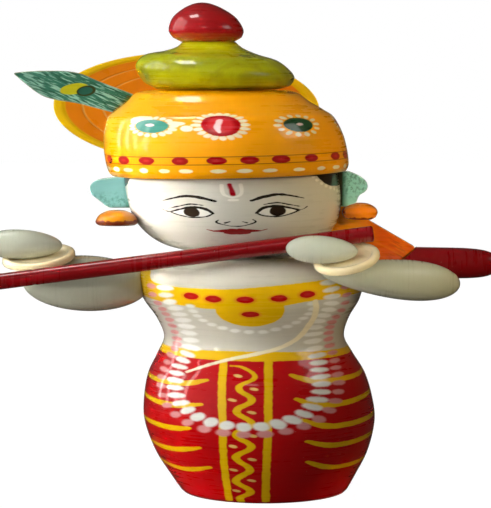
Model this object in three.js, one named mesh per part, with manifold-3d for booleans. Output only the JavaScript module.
import * as THREE from 'three';
import { mergeVertices } from 'three/addons/utils/BufferGeometryUtils.js';
import Module from 'manifold-3d';

// A lacquered, turned-wood doll of a flute player in a turban, about 196 mm tall.
// Millimetres. X runs to the viewer's right, Y away from the viewer, Z up.
// The origin is the centre of the flat base. Left and right are the viewer's.

// Driving dimensions
const gap = 0.3;                  // air kept between pieces that touch
const bodyTop = 95.2;             // seat of the head
const headTop = 127.2;            // seat of the turban
const turbanTop = 160.9;          // seat of the bun
const bunHeight = 18.8;
const finialHeight = 15.6;
const headAxisX = -12.8;
const turbanAxisX = -15.6;
const bunAxisX = -19.6;
const finialAxisX = -23.2;
const brimSlope = 0.023;          // the turban's brim and the head's top rise to the right
const plaqueHalfWidth = 55.9;
const plaqueHalfHeight = 23.1;
const plaqueThickness = 3.6;
const plaqueCentre = [-32.4, 49.3, 152.7];
const fluteRadius = 3.1;
const fluteLeft = [-113, -39.4, 86.4];
const fluteRight = [41.7, -35.6, 106.0];
const earThickness = 4;
const earLeftY = -4;
const earRightY = -4.5;
const boardThickness = 4;
const boardY = 5.2;

// Turned profiles as radius and height, from bottom to top: a sharp foot, then a smooth side
const bodyProfile = {
  foot: [32.7, 0],
  side: [
    [33.8, 1], [37.4, 6.8], [42.8, 16.4], [46.3, 28], [46, 37.5], [43.6, 47.5], [39.2, 55.6],
    [36.2, 62.4], [38.6, 70], [43.4, 77.6], [45.4, 85], [43.4, 90], [34, 93.8], [15, bodyTop],
  ],
};
const headProfile = {
  foot: [12, 95.9],
  side: [
    [22, 97], [29, 99], [33.4, 101.2], [37.4, 104.6], [40.7, 109.4], [42.5, 115.4], [43.1, 123],
    [43, headTop],
  ],
};
const turbanProfile = {
  foot: [43.6, headTop + gap],
  side: [
    [46.8, headTop + 0.7], [48.1, 130.2], [48.5, 135.5], [47.8, 143], [45.3, 149.8], [41.6, 152.9],
    [36.4, 156.4], [32.6, 159.6], [28, turbanTop],
  ],
};
const bunProfile = {
  foot: [24.6, 0],
  side: [[29.4, 2], [31.6, 6], [30.5, 9.2], [26.2, 12.6], [18.4, 14.6], [13.2, 16.6], [10.6, bunHeight]],
};
const finialProfile = {
  foot: [10.6, 0],
  side: [
    [13.6, 1.6], [14.9, 4], [14.2, 7], [12, 10.2], [7.8, 13.2], [3.4, 15.1], [0, finialHeight],
  ],
};
const earringLeftProfile = {
  foot: [7.2, 0],
  side: [[8.1, 0.5], [8.4, 1.6], [7, 3.9], [3.6, 5.6], [0, 6]],
};
const earringRightProfile = {
  foot: [5, 0],
  side: [[6.4, 0.8], [7.2, 2.8], [6.2, 4.8], [3.2, 6.3], [0, 6.6]],
};
const tasselProfile = {
  foot: [6, -14],
  side: [[6.2, -12], [6.2, 0], [6.1, 14], [5.2, 22], [3.2, 26], [0, 27.6]],
};

const wasm = await Module();
wasm.setup();

// A curve through the points, as short straight steps
function smooth(points, steps) {
  const curve = new THREE.SplineCurve(points.map(([u, v]) => new THREE.Vector2(u, v)));
  return curve.getPoints(steps).map((p) => [p.x, p.y]);
}

// A solid of revolution about Z. It starts and ends on the axis.
function turned(rings, sides) {
  const bottom = [0, rings[0][1]];
  const top = [0, rings[rings.length - 1][1]];
  const path = [bottom, ...rings.filter(([radius]) => radius > 0.01), top];
  const lathe = new THREE.LatheGeometry(path.map(([radius, z]) => new THREE.Vector2(radius, z)), sides);
  return lathe.rotateX(Math.PI / 2);
}

function turnedProfile({ foot, side }, steps, sides) {
  return turned([foot, ...smooth(side, steps)], sides);
}

// Hand-turned pieces are not quite true. The axis leans by `lean` for each mm above `at`. The
// bottom, the top or the waist of the piece tips to one side, as a slope of height against X.
function skew(geometry, settings) {
  const { axisX = 0, from, to, at = from, lean = 0, tipBottom = 0, tipTop = 0, tipWaist = 0 } = settings;
  const p = geometry.attributes.position;
  for (let i = 0; i < p.count; i += 1) {
    const [x, z] = [p.getX(i), p.getZ(i)];
    const t = (z - from) / (to - from);
    const tip = THREE.MathUtils.lerp(tipBottom, tipTop, t) + tipWaist * Math.sin(Math.PI * t);
    p.setX(i, axisX + x + lean * (z - at));
    p.setZ(i, z + x * tip);
  }
  return geometry;
}

// The form with its shared corners joined
function merged(geometry) {
  const bare = geometry.index ? geometry.toNonIndexed() : geometry.clone();
  bare.deleteAttribute('normal');
  bare.deleteAttribute('uv');
  return mergeVertices(bare, 1e-4);
}

function asSolid(geometry) {
  const mesh = merged(geometry);
  const index = Array.from(mesh.index.array);
  const triangles = [];
  for (let i = 0; i < index.length; i += 3) {
    const [a, b, c] = index.slice(i, i + 3);
    if (a !== b && b !== c && c !== a) triangles.push(a, b, c);
  }
  return new wasm.Manifold(new wasm.Mesh({
    numProp: 3,
    vertProperties: new Float32Array(mesh.attributes.position.array),
    triVerts: new Uint32Array(triangles),
  }));
}

function asGeometry(solid) {
  const { vertProperties, triVerts } = solid.getMesh();
  const geometry = new THREE.BufferGeometry();
  geometry.setAttribute('position', new THREE.BufferAttribute(new Float32Array(vertProperties), 3));
  geometry.setIndex(new THREE.BufferAttribute(new Uint32Array(triVerts), 1));
  geometry.computeVertexNormals();
  return geometry;
}

// The same form, larger by the gap on every side
function grown(geometry) {
  const mesh = merged(geometry);
  mesh.computeVertexNormals();
  const { position, normal } = mesh.attributes;
  for (let i = 0; i < position.count; i += 1) {
    const p = new THREE.Vector3().fromBufferAttribute(position, i);
    p.addScaledVector(new THREE.Vector3().fromBufferAttribute(normal, i), gap);
    position.setXYZ(i, p.x, p.y, p.z);
  }
  return mesh;
}

// The piece with a seat cut into it for each neighbour that it bears on
function seated(geometry, neighbours) {
  let solid = asSolid(geometry);
  for (const neighbour of neighbours) solid = solid.subtract(asSolid(grown(neighbour)));
  return asGeometry(solid);
}

// An egg turned between centres, its long axis along X. `blunt` moves its fattest place towards
// +X, as a share of the half length.
function egg(halfLength, radius, blunt, steps, sides) {
  const rings = [];
  for (let i = 0; i <= steps; i += 1) {
    const angle = Math.PI * (i / steps);
    const along = -Math.cos(angle);
    const across = Math.sin(angle) * (1 + blunt * along) / Math.sqrt(1 + blunt * blunt);
    rings.push([radius * across, halfLength * along]);
  }
  return turned(rings, sides).rotateY(Math.PI / 2);
}

// Moves a form that lies along X to its middle. `plan` turns it seen from above and `slope`
// lowers its right end, both in degrees.
function placed(geometry, [x, y, z], plan, slope) {
  geometry.rotateY(THREE.MathUtils.degToRad(slope));
  geometry.rotateZ(THREE.MathUtils.degToRad(plan));
  return geometry.translate(x, y, z);
}

// A board cut to an outline seen from the front, with its edges eased
function board(outline, middleY, thickness, edge) {
  const shape = new THREE.Shape(outline.map(([x, z]) => new THREE.Vector2(x, z)));
  const geometry = new THREE.ExtrudeGeometry(shape, {
    depth: thickness - 2 * edge,
    bevelThickness: edge,
    bevelSize: edge,
    bevelOffset: -edge,
    bevelSegments: 1,
  });
  return geometry.rotateX(Math.PI / 2).translate(0, middleY + thickness / 2 - edge, 0);
}

function body() {
  return skew(turnedProfile(bodyProfile, 22, 36), { from: 0, to: bodyTop, lean: -0.067 });
}

function head() {
  return skew(turnedProfile(headProfile, 10, 32), {
    axisX: headAxisX, from: headProfile.foot[1], to: headTop, at: 123, lean: -0.13, tipTop: brimSlope,
  });
}

function turban() {
  return skew(turnedProfile(turbanProfile, 12, 36), {
    axisX: turbanAxisX, from: headTop, to: turbanTop, at: 137, lean: -0.16, tipBottom: brimSlope,
  });
}

function bun() {
  const knot = skew(turnedProfile(bunProfile, 11, 28), {
    axisX: bunAxisX, from: 0, to: bunHeight, at: 5.8, lean: -0.2, tipWaist: -0.06,
  });
  return knot.translate(0, 0, turbanTop + gap);
}

function finial() {
  const bud = skew(turnedProfile(finialProfile, 10, 20), {
    axisX: finialAxisX, from: 0, to: finialHeight, at: 4, lean: -0.15,
  });
  return bud.translate(0, 0, turbanTop + bunHeight + 2 * gap);
}

// The plaque is turned as a round board with a raised rim and two grooves, then drawn out to an
// oval. Radii are shares of its half width, depths are from the front of the rim.
function backPlaque() {
  const rimWidth = 0.08;
  const faceDepth = 0.6;
  const grooveDepth = 0.5;
  const grooveHalfWidth = 0.012;
  const tiltDegrees = 1.56;
  const fromCentre = [];
  for (const radius of [0.63, 0.78]) {
    fromCentre.push([radius - grooveHalfWidth, faceDepth]);
    fromCentre.push([radius, faceDepth + grooveDepth]);
    fromCentre.push([radius + grooveHalfWidth, faceDepth]);
  }
  fromCentre.push([1 - rimWidth, faceDepth], [0.94, 0], [0.985, 0], [1, 0.6]);
  fromCentre.push([1, plaqueThickness - 0.6], [0.985, plaqueThickness]);
  const oval = turned(fromCentre, 36).rotateX(-Math.PI / 2);
  oval.scale(plaqueHalfWidth, 1, plaqueHalfHeight);
  return oval.rotateY(THREE.MathUtils.degToRad(tiltDegrees)).translate(...plaqueCentre);
}

function peacockFeather(neighbours) {
  const tip = [-100.8, 167.7];
  const top = smooth([tip, [-91, 168.5], [-76, 168], [-64.6, 163.7], [-49, 157.9]], 11);
  const bottom = smooth([[-57.6, 150.9], [-73.5, 155.2], [-85, 157.2], [-91.4, 160], tip], 11);
  return seated(board([...top, ...bottom.slice(0, -1)], 3, 2.4, 0.5), neighbours);
}

function earLeft(neighbours) {
  const rim = smooth([
    [-58, 126.4], [-65.4, 125.6], [-69.2, 123.6], [-69.4, 119.9], [-66.6, 117.6], [-62.3, 114.1],
  ], 12);
  const root = [[-50, 114.1], [-50, 126.4]];
  return seated(board([...rim, ...root], earLeftY, earThickness, 0.8), neighbours);
}

function earRight(neighbours) {
  const rim = smooth([
    [33, 128.9], [37.5, 127], [40.8, 124.3], [40.6, 121], [37.4, 119], [36.8, 116.6], [35, 114.6],
  ], 12);
  const root = [[27, 114.6], [27, 128.9]];
  return seated(board([...rim, ...root], earRightY, earThickness, 0.8), neighbours);
}

// A bangle: a turned ring whose middle is a shallow dish with a seat for the hand
function bangle(radius, centre, towardsViewer, rightUp, hand) {
  const half = 1.5;
  const rim = 2.6;
  const rings = [
    [radius - 1, -half], [radius, -0.5], [radius, 0.5], [radius - 0.9, half],
    [radius - rim, half], [radius - rim - 0.7, 0.3],
  ];
  const ring = turned(rings, 24);
  ring.rotateX(THREE.MathUtils.degToRad(towardsViewer));
  ring.rotateY(THREE.MathUtils.degToRad(-rightUp));
  return seated(ring.translate(...centre), [hand]);
}

function flute() {
  const from = new THREE.Vector3(...fluteLeft);
  const to = new THREE.Vector3(...fluteRight);
  const length = from.distanceTo(to);
  const edge = 0.5;
  const ringAt = 24;
  const ringHalf = 0.8;
  const ringDepth = 0.25;
  const rod = turned([
    [fluteRadius - edge, 0], [fluteRadius, edge],
    [fluteRadius, ringAt - ringHalf], [fluteRadius - ringDepth, ringAt], [fluteRadius, ringAt + ringHalf],
    [fluteRadius, length - edge], [fluteRadius - edge, length],
  ], 16);
  const upright = new THREE.Vector3(0, 0, 1);
  const along = to.clone().sub(from).normalize();
  rod.applyQuaternion(new THREE.Quaternion().setFromUnitVectors(upright, along));
  return rod.translate(...fluteLeft);
}

// The scarf's board falls from the head to the right, and its slanting end butts on the tassel
const boardEndTop = new THREE.Vector2(61.1, 97.5);
const boardEndBottom = new THREE.Vector2(51.3, 89.4);

function scarfBoard(neighbours) {
  const top = [[22, 120.1], [41.4, 109], [60, 98.2]];
  const bottom = [22, 106.3];
  const outline = [...top, boardEndTop.toArray(), boardEndBottom.toArray(), bottom];
  return seated(board(outline, boardY, boardThickness, 0.9), neighbours);
}

function scarfTassel() {
  const barrel = turnedProfile(tasselProfile, 9, 18).rotateY(Math.PI / 2);
  placed(barrel, [67.4, boardY, 91.3], 0, 1);
  const reach = 40;
  const slope = boardEndTop.clone().sub(boardEndBottom).setLength(reach);
  const clear = new THREE.Vector2(1.4 * gap, 0);
  const low = boardEndBottom.clone().sub(slope).add(clear);
  const high = boardEndTop.clone().add(slope).add(clear);
  const sawn = new THREE.Shape([
    low, high, new THREE.Vector2(low.x - reach, high.y), new THREE.Vector2(low.x - reach, low.y),
  ]);
  const waste = new THREE.ExtrudeGeometry(sawn, { depth: reach, bevelEnabled: false });
  waste.rotateX(Math.PI / 2).translate(0, boardY + reach / 2, 0);
  return asGeometry(asSolid(barrel).subtract(asSolid(waste)));
}

const forms = {
  body: body(),
  head: head(),
  turban: turban(),
  earringLeft: turnedProfile(earringLeftProfile, 6, 18).translate(-58.4, -14.4, 107.9),
  earringRight: turnedProfile(earringRightProfile, 6, 18).translate(37.9, earRightY, 109.5),
  handLeft: placed(egg(16, 5.8, -0.1, 9, 16), [-95.4, -22, 100.8], 0, 1.5),
  handRight: placed(egg(13.8, 5.4, -0.1, 9, 16), [21.6, -45.2, 100.5], 0, 2.5),
};
forms.bangleLeft = bangle(14.4, [-88.8, -20.6, 95.6], 12, 5.5, forms.handLeft);
forms.bangleRight = bangle(12.9, [31.2, -42.4, 96.7], 18, 11, forms.handRight);
forms.armLeft = placed(egg(25.5, 11, 0, 12, 22), [-70.6, -14.5, 84.8], 16, 3.5);
forms.armRight = placed(egg(31.6, 8, 0.32, 13, 22), [49.6, -23.2, 87.4], 28, 6.6);

const cream = '#e4ded2';
const skin = '#c9ccbe';
const maroon = '#7a0710';
const turquoise = '#7fb9ab';
const bangleYellow = '#ecd29c';
const gloss = 0.25;
const satin = 0.45;

const group = new THREE.Group();

function add(name, geometry, color, roughness) {
  const mesh = new THREE.Mesh(geometry, new THREE.MeshStandardMaterial({ color, roughness, metalness: 0 }));
  mesh.name = name;
  group.add(mesh);
}

add('body', forms.body, '#b00a10', gloss);
add('head', forms.head, cream, gloss);
add('turban', forms.turban, '#f5b50c', gloss);
add('turban_bun', bun(), '#a9ac10', gloss);
add('turban_finial', finial(), '#a8070c', gloss);
add('back_plaque', backPlaque(), '#e58208', gloss);
add('peacock_feather', peacockFeather([forms.turban]), '#3f7d69', satin);
add('ear_left', earLeft([forms.head, forms.turban, forms.earringLeft]), turquoise, satin);
add('ear_right', earRight([forms.head, forms.turban, forms.earringRight]), turquoise, satin);
add('earring_left', forms.earringLeft, '#f3a40c', gloss);
add('earring_right', forms.earringRight, '#df7c0c', gloss);
add('hand_left', forms.handLeft, skin, gloss);
add('hand_right', forms.handRight, skin, gloss);
add('bangle_left', forms.bangleLeft, bangleYellow, gloss);
add('bangle_right', forms.bangleRight, bangleYellow, gloss);
add('arm_left', seated(forms.armLeft, [forms.body, forms.bangleLeft]), skin, gloss);
add('arm_right', seated(forms.armRight, [forms.body, forms.bangleRight]), skin, gloss);
add('flute', flute(), maroon, gloss);
add('scarf_board', scarfBoard([forms.head, forms.earringRight]), '#c85a0a', gloss);
add('scarf_tassel', scarfTassel(), maroon, gloss);

export default group;
